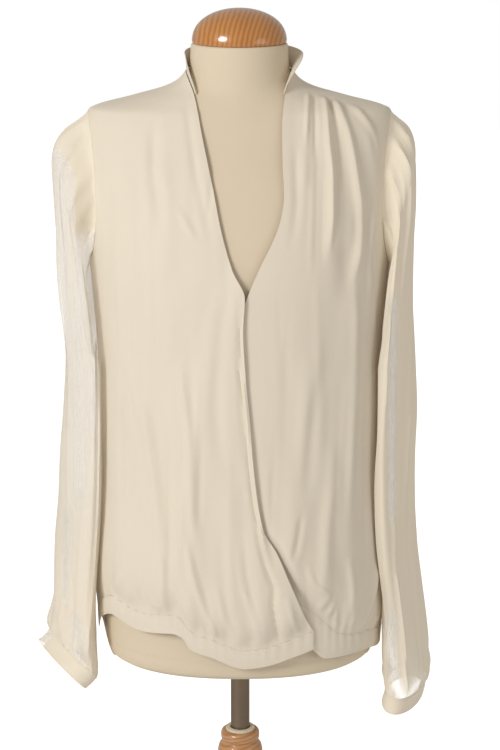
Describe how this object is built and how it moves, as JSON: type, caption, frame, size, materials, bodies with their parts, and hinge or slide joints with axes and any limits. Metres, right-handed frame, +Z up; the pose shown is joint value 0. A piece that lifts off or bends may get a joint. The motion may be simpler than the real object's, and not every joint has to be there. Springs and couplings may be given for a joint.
{
  "type": "long-sleeve blouse on a dress form",
  "caption": "Long-sleeve crossover blouse with a gathered hem band and sheer sleeves, worn by a limbless dress form on a steel pole and a turned wooden tripod.",
  "frame": {"origin": "on the floor, under the middle of the object's box", "axes": "+Z up along the pole, the blouse's front faces -Y, the wearer's left is at +X"},
  "size_m": [0.5068, 0.4436, 1.4373],
  "materials": {
    "ivory_crepe": "soft crepe with a faint sheen",
    "ivory_chiffon": "sheer chiffon",
    "cream_jersey": "smooth matte jersey",
    "varnished_wood": "glossy varnish",
    "turned_wood": "satin lacquer",
    "steel_tube": "satin",
    "cream_plastic": "matte"
  },
  "bodies": {
    "stand": {"column": "turned_wood", "guide_bush": "cream_plastic", "leg_back": "turned_wood", "leg_left": "turned_wood", "leg_right": "turned_wood"},
    "post": {"pole": "steel_tube"},
    "bust": {"dress_form_bust": "cream_jersey", "neck_cap": "varnished_wood", "front_right": "ivory_crepe", "front_left": "ivory_crepe", "back": "ivory_crepe", "hem_band_right": "ivory_crepe", "hem_band_left": "ivory_crepe", "hem_band_back": "ivory_crepe", "sleeve_left": "ivory_chiffon", "sleeve_right": "ivory_chiffon", "cuff_left": "ivory_chiffon", "cuff_right": "ivory_chiffon", "stand_collar": "ivory_crepe"}
  },
  "joints": [
    {"name": "height", "type": "slide", "parent": "stand", "child": "post", "axis": [0, 0, 1], "range_m": [-0.08, 0.2]},
    {"name": "turn", "type": "hinge", "parent": "post", "child": "bust", "pos_m": [0, -0.06825, 1], "axis": [0, 0, 1], "continuous": true}
  ]
}
